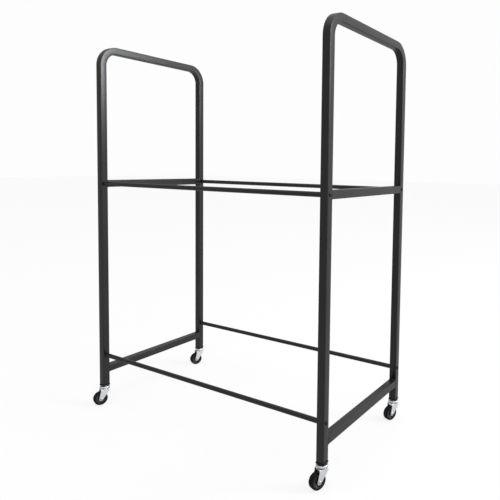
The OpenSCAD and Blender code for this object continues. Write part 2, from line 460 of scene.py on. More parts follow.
@dataclass(frozen=True)
class SinteredBronze:
    """Oil-filled sintered bronze with dark pores."""

    name: str = "sintered_bronze"
    bronze: Colour = (0.52, 0.36, 0.17)
    oily: Colour = (0.20, 0.13, 0.06)

    def make(self) -> bpy.types.Material:
        """Builds the material.

        Returns:
            The material.
        """
        sheet = FinishSheet(self.name)
        pores = sheet.cells(0.5 * MM)
        stain = sheet.noise(3 * MM, 4.0)
        dark = (1.0 - pores.between(0.1, 0.45)) * 0.6 + stain.between(0.5, 0.8) * 0.4
        return sheet.finish(
            [(pores, 0.02 * MM)],
            Base_Color=sheet.mixed(dark, self.bronze, self.oily),
            Metallic=0.95,
            Roughness=0.36 + stain * 0.15,
        )


@dataclass(frozen=True)
class StudioPaper:
    """Matt white paper that the rack stands on, which glows a little so that it stays evenly white."""

    name: str = "studio_paper"
    white: Colour = (0.21, 0.21, 0.21)
    shade: Colour = (0.20, 0.20, 0.20)
    glow: float = 0.80

    def make(self) -> bpy.types.Material:
        """Builds the material.

        Returns:
            The material.
        """
        sheet = FinishSheet(self.name)
        fibre = sheet.noise(0.4, 3.0)
        return sheet.finish(
            [],
            Base_Color=sheet.mixed(fibre, self.white, self.shade),
            Roughness=0.85,
            Specular_IOR_Level=0.0,
            Emission_Color=(1.0, 1.0, 1.0),
            Emission_Strength=self.glow,
        )


class Finishes:
    """One material of each finish, with the record's slot that it belongs to."""

    def __init__(self) -> None:
        """Makes every material once."""
        self.paint = PowderCoat().make()
        self.zinc = ZincPlate().make()
        self.steel = TurnedSteel().make()
        self.oxide = BlackOxide().make()
        self.collar = MouldedPlastic(
            name="black_nylon",
            base=(0.0035, 0.0035, 0.004),
            scuffed=(0.010, 0.010, 0.011),
        ).make()
        self.hub = MouldedPlastic(
            name="dark_nylon",
            base=(0.020, 0.021, 0.024),
            scuffed=(0.045, 0.047, 0.052),
            gloss=0.14,
        ).make()
        self.rubber = TreadRubber().make()
        self.bronze = SinteredBronze().make()
        self.slots = {
            self.paint.name: "frame_paint",
            self.zinc.name: "zinc_plate",
            self.steel.name: "bright_steel",
            self.oxide.name: "black_steel",
            self.collar.name: "black_plastic",
            self.hub.name: "hub_plastic",
            self.rubber.name: "wheel_rubber",
            self.bronze.name: "bronze",
        }

    def dress_node(self, node: str, material: bpy.types.Material) -> None:
        """Gives a CAD node its material.

        Args:
            node: The CAD node's name.
            material: What it is finished in.
        """
        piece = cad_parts[node]
        for place in piece.material_slots:
            place.material = material
        log.info("%s keeps its CAD shape in %s", node, material.name)

    def dress(self, piece: bpy.types.Object, material: bpy.types.Material) -> None:
        """Gives a new piece its material.

        Args:
            piece: The finished piece.
            material: What it is finished in.
        """
        piece.data.materials.clear()
        piece.data.materials.append(material)


# ---------------------------------------------------------------- modelling bench


@contextmanager
def editing(piece: bpy.types.Object) -> Iterator[None]:
    """Edit mode on one piece, with nothing else selected.

    Args:
        piece: The piece to edit.
    """
    activate(piece)
    bpy.ops.object.mode_set(mode="EDIT")
    yield
    bpy.ops.object.mode_set(mode="OBJECT")


def activate(piece: bpy.types.Object) -> None:
    """Selects one piece alone and makes it active.

    Args:
        piece: The piece.
    """
    bpy.ops.object.select_all(action="DESELECT")
    piece.select_set(True)
    bpy.context.view_layer.objects.active = piece


def pick(piece: bpy.types.Object, test: Callable[[Vector], bool], kind: str = "VERT") -> None:
    """Selects the parts of a mesh, in edit mode, whose middle passes a test.

    Args:
        piece: The piece in edit mode.
        test: Says yes to a place.
        kind: VERT, EDGE or FACE.
    """
    bpy.ops.mesh.select_mode(type=kind)
    bpy.ops.mesh.select_all(action="DESELECT")
    mesh = bmesh.from_edit_mesh(piece.data)
    if kind == "VERT":
        chosen = [v for v in mesh.verts if test(v.co)]
    elif kind == "EDGE":
        chosen = [e for e in mesh.edges if test((e.verts[0].co + e.verts[1].co) / 2)]
    else:
        chosen = [f for f in mesh.faces if test(f.calc_center_median())]
    for part in chosen:
        part.select_set(True)
    mesh.select_flush_mode()
    bmesh.update_edit_mesh(piece.data)


def apply_modifier(piece: bpy.types.Object, kind: str, **settings: object) -> None:
    """Adds a modifier and applies it at once.

    Args:
        piece: The piece.
        kind: The modifier's type.
        settings: Its properties.
    """
    activate(piece)
    modifier = piece.modifiers.new(kind.lower(), kind)
    for key, value in settings.items():
        setattr(modifier, key, value)
    bpy.ops.object.modifier_apply(modifier=modifier.name)


def round_edges(piece: bpy.types.Object, width: float, segments: int = 3, angle: float = 40.0) -> None:
    """Bevels the sharp edges of a piece.

    Args:
        piece: The piece.
        width: The bevel's width, in metres.
        segments: Steps across the bevel.
        angle: Edges sharper than this, in degrees, are bevelled.
    """
    apply_modifier(
        piece, "BEVEL", width=width, segments=segments, limit_method="ANGLE",
        angle_limit=math.radians(angle), harden_normals=False,
    )


def combine(piece: bpy.types.Object, other: bpy.types.Object, operation: str) -> None:
    """Adds or cuts one closed solid, which is used up.

    Args:
        piece: The piece that stays.
        other: The solid that is added or cut away.
        operation: UNION or DIFFERENCE.
    """
    apply_modifier(piece, "BOOLEAN", object=other, operation=operation, solver="EXACT")
    bpy.data.objects.remove(other)


def settle(piece: bpy.types.Object, name: str, smooth_angle: float = 35.0) -> bpy.types.Object:
    """Puts the piece's place in its mesh, turns its faces outwards and smooths it.

    Args:
        piece: The piece.
        name: Its name.
        smooth_angle: Edges flatter than this, in degrees, are shaded smooth.

    Returns:
        The same piece.
    """
    activate(piece)
    bpy.ops.object.transform_apply(location=True, rotation=True, scale=True)
    with editing(piece):
        bpy.ops.mesh.select_all(action="SELECT")
        bpy.ops.mesh.remove_doubles(threshold=0.002 * MM)
        bpy.ops.mesh.normals_make_consistent(inside=False)
    activate(piece)
    bpy.ops.object.shade_smooth_by_angle(angle=math.radians(smooth_angle))
    piece.name = name
    piece.data.name = name
    return piece


def copy_of(piece: bpy.types.Object, name: str, place: Matrix) -> bpy.types.Object:
    """A copy with its own mesh, moved to its place.

    Args:
        piece: The modelled piece.
        name: The copy's name.
        place: Where it goes.

    Returns:
        The copy, whose object sits at the origin.
    """
    made = piece.copy()
    made.data = piece.data.copy()
    made.data.transform(place)
    made.name = name
    made.data.name = name
    bpy.context.scene.collection.objects.link(made)
    return made


def rounded(corners: list[Triple], steps: int = 5) -> list[Point]:
    """An outline whose corners are rounded off.

    Args:
        corners: Each corner's two coordinates and its radius.
        steps: Steps of each arc.

    Returns:
        The outline's points, open at its two ends.
    """
    points: list[Point] = []
    for i, (x, y, radius) in enumerate(corners):
        if radius <= 0:
            points.append((x, y))
            continue
        here = Vector((x, y))
        back = (Vector(corners[i - 1][:2]) - here).normalized()
        ahead = (Vector(corners[(i + 1) % len(corners)][:2]) - here).normalized()
        half = back.angle(ahead) / 2
        middle = here + (back + ahead).normalized() * (radius / math.sin(half))
        start = here + back * (radius / math.tan(half)) - middle
        end = here + ahead * (radius / math.tan(half)) - middle
        turn = start.angle_signed(end)
        for k in range(steps + 1):
            arm = start.copy()
            arm.rotate(Matrix.Rotation(-turn * k / steps, 2))
            points.append(tuple(middle + arm))
    return points


def chain(points: list[Vector], closed: bool) -> bpy.types.Object:
    """A line of edges through the points, drawn by extruding one vertex.

    Args:
        points: The line's points.
        closed: True to join its ends.

    Returns:
        The new object.
    """
    bpy.ops.object.select_all(action="DESELECT")
    bpy.ops.mesh.primitive_plane_add(size=MM, location=(0, 0, 0))
    piece = bpy.context.object
    with editing(piece):
        bpy.ops.mesh.select_mode(type="VERT")
        bpy.ops.mesh.select_all(action="SELECT")
        bpy.ops.mesh.merge(type="CENTER")
        bpy.ops.transform.translate(value=points[0])
        for before, after in zip(points, points[1:]):
            bpy.ops.mesh.extrude_vertices_move(TRANSFORM_OT_translate={"value": after - before})
        if closed:
            pick(piece, lambda p: min((p - points[0]).length, (p - points[-1]).length) < 1e-7)
            bpy.ops.mesh.edge_face_add()
    return piece


def turned(outline: list[Point], closed: bool = True, steps: int = 48) -> bpy.types.Object:
    """A solid of revolution about Z.

    Args:
        outline: Points of radius and height.
        closed: False where both ends of the outline lie on the axis.
        steps: Steps round the axis.

    Returns:
        The solid.
    """
    piece = chain([Vector((r, 0, z)) for r, z in outline], closed)
    with editing(piece):
        bpy.ops.mesh.select_all(action="SELECT")
        bpy.ops.mesh.spin(steps=steps, angle=math.tau, center=(0, 0, 0), axis=(0, 0, 1))
        bpy.ops.mesh.select_all(action="SELECT")
        bpy.ops.mesh.remove_doubles(threshold=0.001 * MM)
        bpy.ops.mesh.normals_make_consistent(inside=False)
    return piece


def block(size: Vector, middle: Vector) -> bpy.types.Object:
    """A block of a given size, to be shaped further.

    Args:
        size: Its three sizes.
        middle: Its middle.

    Returns:
        The block.
    """
    bpy.ops.object.select_all(action="DESELECT")
    bpy.ops.mesh.primitive_cube_add(size=1.0, location=middle, scale=size)
    piece = bpy.context.object
    bpy.ops.object.transform_apply(location=True, rotation=True, scale=True)
    return piece


def rod(radius: float, length: float, middle: Vector, sides: int = 48) -> bpy.types.Object:
    """A round or many-sided rod along Z, to cut with or to be shaped further.

    Args:
        radius: Its radius over the corners.
        length: Its length.
        middle: Its middle.
        sides: How many sides it has.

    Returns:
        The rod.
    """
    bpy.ops.object.select_all(action="DESELECT")
    bpy.ops.mesh.primitive_cylinder_add(vertices=sides, radius=radius, depth=length, location=middle)
    piece = bpy.context.object
    bpy.ops.object.transform_apply(location=True, rotation=True, scale=True)
    return piece


def remove(*pieces: bpy.types.Object) -> None:
    """Deletes the models that copies were made from.

    Args:
        pieces: The models.
    """
    for piece in pieces:
        bpy.data.objects.remove(piece)


# ---------------------------------------------------------------- frame


@dataclass
class SideHoop:
    """One bent hoop of square tube, drawn as a clean swept wall."""

    side: Side
    finishes: Finishes
    wall: float = 1.5 * MM
    edge_radius: float = 2.2 * MM
    bend_radius: float = 76 * MM
    edge_steps: int = 5
    bend_steps: int = 20
    flattening: float = 0.5 * MM
    flattened_zone: float = 0.8
    corner_flattening: float = 0.35
    cut_edge: float = 0.3 * MM

    def __post_init__(self) -> None:
        """Reads the hoop's place from its CAD node."""
        self.node = f"{self.side.value}_hoop"
        low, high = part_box(self.node)
        self.tube = high.x - low.x
        self.low, self.high = low, high
        self.x = (low.x + high.x) / 2

    def build(self) -> bpy.types.Object:
        """Sweeps the tube's section up, over and down again.

        Returns:
            The hoop, dressed and riding on the frame.
        """
        half = self.tube / 2
        foot = Vector((self.x, self.low.y + half, self.low.z))
        straight = self.high.z - self.low.z - self.bend_radius
        across = self.high.y - self.low.y - 2 * self.bend_radius
        bpy.ops.object.select_all(action="DESELECT")
        bpy.ops.mesh.primitive_plane_add(size=self.tube, location=foot)
        hoop = bpy.context.object
        bpy.ops.object.transform_apply(location=True, rotation=True, scale=True)
        bend_z = self.high.z - self.bend_radius
        with editing(hoop):
            bpy.ops.mesh.select_all(action="SELECT")
            bpy.ops.mesh.bevel(offset=self.edge_radius, segments=self.edge_steps, affect="VERTICES")
            bpy.ops.mesh.select_all(action="SELECT")
            bpy.ops.mesh.delete(type="ONLY_FACE")
            bpy.ops.mesh.select_mode(type="EDGE")
            bpy.ops.mesh.select_all(action="SELECT")
            bpy.ops.mesh.extrude_region_move(TRANSFORM_OT_translate={"value": (0, 0, straight)})
            self.bend(Vector((self.x, self.low.y + self.bend_radius, bend_z)))
            bpy.ops.mesh.extrude_region_move(TRANSFORM_OT_translate={"value": (0, across, 0)})
            self.bend(Vector((self.x, self.high.y - self.bend_radius, bend_z)))
            bpy.ops.mesh.extrude_region_move(TRANSFORM_OT_translate={"value": (0, 0, -straight)})
            bpy.ops.mesh.select_all(action="SELECT")
            bpy.ops.mesh.remove_doubles(threshold=0.005 * MM)
            bpy.ops.mesh.normals_make_consistent(inside=False)
        self.flatten_bends(hoop)
        apply_modifier(hoop, "SOLIDIFY", thickness=self.wall, offset=-1.0, use_even_offset=True)
        round_edges(hoop, self.cut_edge, 2, 60)
        settle(hoop, f"{self.node}_tube", 40)
        self.finishes.dress(hoop, self.finishes.paint)
        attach(hoop, "rack_frame")
        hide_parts(self.node)
        log.info("%s swept: %d faces", hoop.name, len(hoop.data.polygons))
        return hoop

    def bend(self, centre: Vector) -> None:
        """Spins the open end of the tube a quarter turn over the top.

        Args:
            centre: The bend's centre.
        """
        bpy.ops.mesh.spin(steps=self.bend_steps, angle=math.pi / 2, center=centre, axis=(1, 0, 0))

    def flatten_bends(self, hoop: bpy.types.Object) -> None:
        """Sinks the outer wall of each bend a little, as a bending former leaves it.

        Args:
            hoop: The hoop's open shell.
        """
        half = self.tube / 2
        middle_y = (self.low.y + self.high.y) / 2
        for centre_y in (self.low.y + self.bend_radius, self.high.y - self.bend_radius):
            centre = Vector((self.x, centre_y, self.high.z - self.bend_radius))
            for vertex in hoop.data.vertices:
                arm = vertex.co - centre
                in_bend = arm.z > 0 and arm.y * (centre_y - middle_y) > 0
                reach = Vector((0, arm.y, arm.z))
                out = (reach.length - (self.bend_radius - half)) / half
                if not in_bend or out <= self.flattened_zone:
                    continue
                along = math.sin(2 * math.atan2(arm.z, abs(arm.y)))
                spread = 1 - min(1.0, abs(arm.x) / half) ** 2
                share = self.corner_flattening + (1 - self.corner_flattening) * spread
                vertex.co -= reach.normalized() * (self.flattening * along * share)


@dataclass
class WeldBeads:
    """The rippled fillets that join the cross bars to the legs."""

    finishes: Finishes
    bead_radius: float = 2.0 * MM
    inset: float = 1.15 * MM
    corner_radius: float = 3.0 * MM
    bite: float = 0.1 * MM
    ripple_pitch: float = 1.9 * MM
    ripple_low: float = 0.86
    ripple_rise: float = 0.16
    points_per_ripple: int = 4

    def path(self, half: float) -> list[tuple[Vector, float]]:
        """The line that a bead follows round the end of a bar, in the XZ plane.

        Args:
            half: Half the tube's size.

        Returns:
            Evenly spaced points and the bead's swelling at each.
        """
        wide, high = half - self.inset, half + self.bite
        signs = ((1, -1), (1, 1), (-1, 1), (-1, -1))
        corners = [(s * wide, t * high, self.corner_radius) for s, t in signs]
        outline = [Vector((x, 0, z)) for x, z in rounded(corners, 8)]
        lengths = [(b - a).length for a, b in zip(outline, outline[1:] + outline[:1])]
        ripples = round(sum(lengths) / self.ripple_pitch)
        count = ripples * self.points_per_ripple
        points = []
        for k in range(count):
            left = sum(lengths) * k / count
            i = 0
            while left > lengths[i]:
                left -= lengths[i]
                i += 1
            place = outline[i].lerp(outline[(i + 1) % len(outline)], left / max(lengths[i], 1e-9))
            phase = k % self.points_per_ripple / self.points_per_ripple
            wander = 0.04 * math.sin(k * 0.37) + 0.03 * math.sin(k * 0.91 + 1.0)
            ripple = self.ripple_rise * math.sin(math.pi * phase)
            points.append((place, self.ripple_low + ripple + wander))
        return points

    def model(self, half: float) -> bpy.types.Object:
        """One bead round a bar's end, about the origin.

        Args:
            half: Half the tube's size.

        Returns:
            The bead.
        """
        curve = bpy.data.curves.new("bead_path", "CURVE")
        curve.dimensions = "3D"
        curve.bevel_depth = self.bead_radius
        curve.bevel_resolution = 2
        points = self.path(half)
        spline = curve.splines.new("POLY")
        spline.points.add(len(points) - 1)
        for target, (place, swelling) in zip(spline.points, points):
            target.co = (*place, 1.0)
            target.radius = swelling
        spline.use_cyclic_u = True
        bead = bpy.data.objects.new("bead", curve)
        bpy.context.scene.collection.objects.link(bead)
        activate(bead)
        bpy.ops.object.convert(target="MESH")
        return settle(bpy.context.object, "bead", 60)

    def build(self) -> None:
        """Puts a bead at both ends of every cross bar."""
        bar_low, bar_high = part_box("left_upper_crossbar")
        model = self.model((bar_high.x - bar_low.x) / 2)
        for side in Side:
            for tier in Tier:
                low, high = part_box(f"{side.value}_{tier.value}_crossbar")
                for row in Row:
                    y = high.y if row is Row.REAR else low.y
                    middle = Vector(((low.x + high.x) / 2, y, (low.z + high.z) / 2))
                    turn = Matrix.Rotation(math.pi if row is Row.REAR else 0.0, 4, "Z")
                    name = f"{side.value}_{tier.value}_{row.value}_weld"
                    bead = copy_of(model, name, Matrix.Translation(middle) @ turn)
                    self.finishes.dress(bead, self.finishes.paint)
                    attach(bead, "rack_frame")
                    log.info("%s: %d faces", name, len(bead.data.polygons))
        remove(model)


@dataclass
class RailBolts:
    """Low button-head bolts that hold the long rails, with a hexagon socket in each head."""

    finishes: Finishes
    head_radius: float = 5.4 * MM
    head_height: float = 3.3 * MM
    head_top_radius: float = 3.0 * MM
    rim: float = 0.8 * MM
    rim_chamfer: float = 0.2 * MM
    shank_radius: float = 3.0 * MM
    shank_length: float = 43 * MM
    shank_chamfer: float = 0.6 * MM
    socket_radius: float = 2.3 * MM
    socket_depth: float = 2.0 * MM
    dome_steps: int = 8

    def model(self) -> bpy.types.Object:
        """One bolt whose head stands on the origin and points to +Z.

        Returns:
            The bolt.
        """
        top_radius = self.head_top_radius
        dome_radius = self.head_radius - top_radius
        dome_height = self.head_height - self.rim
        angles = [math.pi / 2 * k / self.dome_steps for k in range(self.dome_steps + 1)]
        dome = [
            (top_radius + dome_radius * math.cos(a), self.rim + dome_height * math.sin(a))
            for a in angles
        ]
        outline = [
            (0.0, -self.shank_length),
            (self.shank_radius - self.shank_chamfer, -self.shank_length),
            (self.shank_radius, -self.shank_length + self.shank_chamfer),
            (self.shank_radius, 0.0),
            (self.head_radius - self.rim_chamfer, 0.0),
            (self.head_radius, self.rim_chamfer),
            *dome,
            (0.0, self.head_height),
        ]
        bolt = turned(outline, closed=False, steps=40)
        cut = self.socket_depth + MM
        middle = Vector((0, 0, self.head_height - self.socket_depth + cut / 2))
        combine(bolt, rod(self.socket_radius, cut, middle, 6), "DIFFERENCE")
        round_edges(bolt, 0.12 * MM, 2, 50)
        return settle(bolt, "bolt", 30)

    def build(self) -> None:
        """Puts a bolt at the end of every rail, in the outer face of its leg."""
        model = self.model()
        for side in Side:
            low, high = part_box(f"{side.value}_hoop")
            face = high.x if side is Side.RIGHT else low.x
            for row in Row:
                for tier in Tier:
                    rail_low, rail_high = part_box(f"{row.value}_{tier.value}_rail")
                    middle = (rail_low + rail_high) / 2
                    place = Matrix.Translation((face, middle.y, middle.z))
                    turn = Matrix.Rotation(side.outward * math.pi / 2, 4, "Y")
                    twist = Matrix.Rotation(0.7 * middle.z + middle.y, 4, "Z")
                    name = f"rail_bolt_{row.value}_{side.value}_{tier.value}"
                    bolt = copy_of(model, name, place @ turn @ twist)
                    self.finishes.dress(bolt, self.finishes.oxide)
                    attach(bolt, "rack_frame")
                    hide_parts("rail_bolts")
                    log.info("%s: %d faces", name, len(bolt.data.polygons))
        remove(model)


# ---------------------------------------------------------------- casters


@dataclass
class Caster:
    """Models of a stem caster's pieces, about the point on the floor under its leg.

    +X is the direction that the wheel trails in and Z is the swivel axis.
    """

    finishes: Finishes
    leg_foot: float
    tube: float
    trail: float
    wheel_radius: float
    # socket in the leg's end
    flange_height: float = 4 * MM
    flange_lip: float = 1.5 * MM
    flange_corner: float = 3.7 * MM
    flange_round: float = 1.3 * MM
    collar_height: float = 4.5 * MM
    collar_radius: float = 11 * MM
    plug_gap: float = 3.06 * MM
    plug_height: float = 26 * MM
    stem_bore: float = 5.5 * MM
    # cup over the ball race
    cup_top: float = 73.5 * MM
    cup_radius: float = 19 * MM
    cup_drop: float = 6 * MM
    cup_sheet: float = 1.6 * MM
    cup_bore: float = 4.95 * MM
    # fork
    sheet: float = 2 * MM
    crown_top: float = 64 * MM
    crown_radius: float = 18.5 * MM
    plateau_top: float = 67.8 * MM
    plateau_radius: float = 13 * MM
    kingpin_bore: float = 4.08 * MM
    fork_half: float = 14 * MM
    fold: float = 3 * MM
    fold_drop: float = 4 * MM
    leg_front: float = -14.6 * MM
    leg_back: float = 17.6 * MM
    boss_radius: float = 7.5 * MM
    pressed_edge: float = 0.55 * MM
    # axle rivet
    rivet_radius: float = 3.5 * MM
    rivet_head: float = 5.5 * MM
    rivet_height: float = 2.4 * MM
    # wheel
    bore: float = 5.08 * MM
    hub_width: float = 18 * MM
    hub_boss: float = 8 * MM
    hub_boss_length: float = 23 * MM
    hub_rim: float = 2.5 * MM
    half_web: float = 3 * MM
    rubber_depth: float = 6.5 * MM
    tread_width: float = 20 * MM
    tread_step: float = 0.9 * MM
    shoulder: float = 2.9 * MM
    seam_height: float = 0.12 * MM
    seam_half: float = 0.35 * MM
    models: dict[str, bpy.types.Object] = field(default_factory=dict)

    @property
    def hub_radius(self) -> float:
        """Radius of the hub under the rubber."""
        return self.wheel_radius - self.rubber_depth

    def on_axle(self, piece: bpy.types.Object) -> bpy.types.Object:
        """Lays a piece that was turned about Z along the wheel's axle.

        Args:
            piece: The piece.

        Returns:
            The same piece.
        """
        lay = Matrix.Rotation(-math.pi / 2, 4, "X")
        piece.data.transform(Matrix.Translation((self.trail, 0, self.wheel_radius)) @ lay)
        return piece

    def socket(self) -> bpy.types.Object:
        """Plastic plug in the leg's end: a rounded flange, a boss under it and the hidden plug.

        Returns:
            The socket, about the point on the floor under the leg.
        """
        flange, width = self.flange_height, self.tube + 2 * self.flange_lip
        middle = Vector((0, 0, self.leg_foot - flange / 2))
        piece = block(Vector((width, width, flange)), middle)
        with editing(piece):
            pick(piece, lambda p: abs(p.z - middle.z) < flange / 4, "EDGE")
            bpy.ops.mesh.bevel(offset=self.flange_corner, segments=6)
            pick(piece, lambda p: p.z < middle.z - flange / 4, "EDGE")
            bpy.ops.mesh.bevel(offset=self.flange_round, segments=4)
        plug_size, plug_height = self.tube - self.plug_gap, self.plug_height
        plug_middle = Vector((0, 0, self.leg_foot + plug_height / 2))
        plug = block(Vector((plug_size, plug_size, plug_height)), plug_middle)
        round_edges(plug, 1.0 * MM, 3)
        combine(piece, plug, "UNION")
        bottom = self.leg_foot - self.collar_height
        top = self.leg_foot - flange + 0.1 * MM
        boss = turned(rounded([
            (self.stem_bore, bottom, 0.0),
            (self.collar_radius, bottom, 0.2 * MM),
            (self.collar_radius, top, 0.0),
            (self.stem_bore, top, 0.0),
        ]))
        combine(piece, boss, "UNION")
        through = Vector((0, 0, self.leg_foot + plug_height / 2))
        combine(piece, rod(self.stem_bore, 1.5 * plug_height, through), "DIFFERENCE")
        return settle(piece, "socket", 35)

    def race_cup(self) -> bpy.types.Object:
        """Pressed cup over the ball race, with a soft outer shoulder and a thin rolled rim.

        Returns:
            The cup.
        """
        inside = self.cup_radius - self.cup_sheet
        rim = self.cup_top - self.cup_drop
        piece = turned(rounded([
            (self.cup_bore, self.cup_top - self.cup_sheet, 0.0),
            (self.cup_bore, self.cup_top, 0.4 * MM),
            (self.cup_radius, self.cup_top, 2.6 * MM),
            (self.cup_radius, rim, 0.5 * MM),
            (inside, rim, 0.5 * MM),
            (inside, self.cup_top - self.cup_sheet, 1.2 * MM),
        ]), steps=64)
        return settle(piece, "race_cup", 40)

    def leg_outline(self) -> list[Vector]:
        """Side view of a fork leg, from the crown down to the axle's boss, at y = 0.

        Returns:
            The outline's points, from the front edge round the boss to the back edge.
        """
        top = self.crown_top - self.fold_drop
        corners = [(self.leg_front, top), (self.leg_front, top - 4 * MM)]
        start, end = math.radians(-146), math.radians(5)
        steps = 20
        angles = [start + (end - start) * k / steps for k in range(steps + 1)]
        radius = self.boss_radius
        boss = [(self.trail + radius * math.cos(a), self.wheel_radius + radius * math.sin(a)) for a in angles]
        ends = [(self.leg_back, top - 5 * MM), (self.leg_back, top)]
        return [Vector((x, 0, z)) for x, z in corners + boss + ends]

    def strap(self) -> bpy.types.Object:
        """Both legs of the fork and the bridge between them, folded from one strip of sheet.

        Returns:
            The strip, with its thickness and rounded edges.
        """
        outline = self.leg_outline()
        leg_y = self.fork_half - self.sheet / 2
        fold = self.fold
        strap = chain([p + Vector((0, -leg_y, 0)) for p in outline], True)
        with editing(strap):
            bpy.ops.mesh.select_all(action="SELECT")
            bpy.ops.mesh.edge_face_add()
            top = self.crown_top - self.fold_drop
            pick(strap, lambda p: abs(p.z - top) < 0.01 * MM, "EDGE")
            bpy.ops.mesh.spin(steps=6, angle=math.pi / 2, center=(0, -leg_y + fold, top), axis=(1, 0, 0))
            bpy.ops.mesh.extrude_region_move(TRANSFORM_OT_translate={"value": (0, 2 * (leg_y - fold), 0)})
            bpy.ops.mesh.spin(steps=6, angle=math.pi / 2, center=(0, leg_y - fold, top), axis=(1, 0, 0))
        other = chain([p + Vector((0, leg_y, 0)) for p in outline], True)
        with editing(other):
            bpy.ops.mesh.select_all(action="SELECT")
            bpy.ops.mesh.edge_face_add()
        activate(strap)
        other.select_set(True)
        bpy.ops.object.join()
        with editing(strap):
            bpy.ops.mesh.select_all(action="SELECT")
            bpy.ops.mesh.remove_doubles(threshold=0.01 * MM)
            bpy.ops.mesh.normals_make_consistent(inside=False)
        apply_modifier(strap, "SOLIDIFY", thickness=self.sheet, offset=0.0, use_even_offset=True)
        round_edges(strap, self.pressed_edge, 3, 50)
        return strap

    def crown(self) -> bpy.types.Object:
        """Round crown of the fork, with the raised plateau that the balls run on.

        Returns:
            The crown.
        """
        low = self.crown_top - self.sheet
        inside, ceiling = self.plateau_radius - self.sheet, self.plateau_top - self.sheet
        return turned(rounded([
            (self.kingpin_bore, ceiling, 0.0),
            (self.kingpin_bore, self.plateau_top, 0.3 * MM),
            (self.plateau_radius, self.plateau_top, 1.2 * MM),
            (self.plateau_radius, self.crown_top, 0.8 * MM),
            (self.crown_radius, self.crown_top, 0.6 * MM),
            (self.crown_radius, low, 0.6 * MM),
            (inside, low, 0.8 * MM),
            (inside, ceiling, 1.0 * MM),
        ]), steps=64)

    def fork(self) -> bpy.types.Object:
        """Pressed fork: two tapering legs under a round crown, hollow below its plateau.

        Returns:
            The fork.
        """
        fork = self.strap()
        combine(fork, self.crown(), "UNION")
        low = self.crown_top - self.sheet
        middle = Vector((0, 0, low - 0.6 * MM))
        recess = rod(self.plateau_radius - self.sheet, 3 * MM, middle, 64)
        combine(fork, recess, "DIFFERENCE")
        return settle(fork, "fork", 35)

    def axle(self) -> bpy.types.Object:
        """Axle rivet with a domed head pressed over at each end.

        Returns:
            The rivet, along Y.
        """
        half, head, edge = self.fork_half, self.rivet_head, 0.5 * MM
        rise = self.rivet_height - edge
        steps = 8
        angles = [math.pi / 2 * k / steps for k in range(steps + 1)]
        dome = [(head * math.cos(a), half + edge + rise * math.sin(a)) for a in angles]
        shank = [(self.rivet_radius, 0.0), (self.rivet_radius, half), (head - 0.15 * MM, half)]
        right = shank + dome
        outline = [(r, -z) for r, z in reversed(right)] + right[1:]
        outline[0] = (0.0, outline[0][1])
        outline[-1] = (0.0, outline[-1][1])
        piece = turned(outline, closed=False, steps=40)
        return settle(self.on_axle(piece), "axle", 35)

    def hub(self) -> bpy.types.Object:
        """Moulded hub: rounded rim, dished web and a long boss.

        Returns:
            The hub, on the axle.
        """
        rim, half, web = self.hub_radius - self.hub_rim, self.hub_width / 2, self.half_web
        boss, boss_half = self.hub_boss, self.hub_boss_length / 2
        side = [
            (self.bore, boss_half, 0.3 * MM),
            (boss, boss_half, 0.9 * MM),
            (boss + 0.4 * MM, web, 1.6 * MM),
            (rim - 0.5 * MM, web, 1.6 * MM),
            (rim, half, 0.7 * MM),
            (self.hub_radius - 0.02 * MM, half, 0.5 * MM),
        ]
        mirrored = [(r, -z, fillet) for r, z, fillet in reversed(side)]
        piece = turned(rounded(side + mirrored, 4), steps=72)
        return settle(self.on_axle(piece), "hub", 40)

    def tread(self) -> bpy.types.Object:
        """Rubber tread with round shoulders, a step in each side wall and a fine parting line.

        Returns:
            The tread, on the axle.
        """
        inner, outer, half = self.hub_radius, self.wheel_radius, self.tread_width / 2
        face = outer - self.seam_height
        side = [
            (inner, half - self.tread_step, 0.2 * MM),
            (inner + 2.2 * MM, half - self.tread_step, 0.3 * MM),
            (inner + 2.7 * MM, half, 0.3 * MM),
            (face, half, self.shoulder),
            (face, self.seam_half + 0.1 * MM, 0.0),
            (outer, self.seam_half - 0.15 * MM, 0.0),
        ]
        mirrored = [(r, -z, fillet) for r, z, fillet in reversed(side)]
        piece = turned(rounded(side + mirrored, 5), steps=96)
        return settle(self.on_axle(piece), "tread", 40)

    def build(self) -> None:
        """Models every piece once."""
        for make in (self.socket, self.race_cup, self.fork, self.axle, self.hub, self.tread):
            piece = make()
            self.models[make.__name__] = piece
            log.info("caster %s modelled: %d faces", make.__name__, len(piece.data.polygons))

    def place_at(self, corner: str, foot: Vector, heading: float) -> None:
        """Copies the pieces to one leg and dresses them and the CAD nodes that stay.

        Args:
            corner: The corner's name, such as front_left.
            foot: The point on the floor under the leg.
            heading: The direction that the caster trails in, from +X towards +Y, in radians.
        """
        place = Matrix.Translation(foot) @ Matrix.Rotation(heading, 4, "Z")
        upright = Matrix.Translation(foot)
        looks = {
            "socket": (upright, "rack_frame", self.finishes.collar),
            "race_cup": (place, "rack_frame", self.finishes.zinc),
            "fork": (place, f"{corner}_caster", self.finishes.zinc),
            "axle": (place, f"{corner}_caster", self.finishes.steel),
            "hub": (place, f"{corner}_wheel", self.finishes.hub),
            "tread": (place, f"{corner}_wheel", self.finishes.rubber),
        }
        for name, (matrix, body, material) in looks.items():
            piece = copy_of(self.models[name], f"{corner}_{name}_shaped", matrix)
            self.finishes.dress(piece, material)
            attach(piece, body)
            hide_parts(f"{corner}_{name}")
            log.info("%s on %s", piece.name, body)
        self.finishes.dress_node(f"{corner}_stem", self.finishes.steel)
        self.finishes.dress_node(f"{corner}_balls", self.finishes.steel)
        self.finishes.dress_node(f"{corner}_bush", self.finishes.bronze)


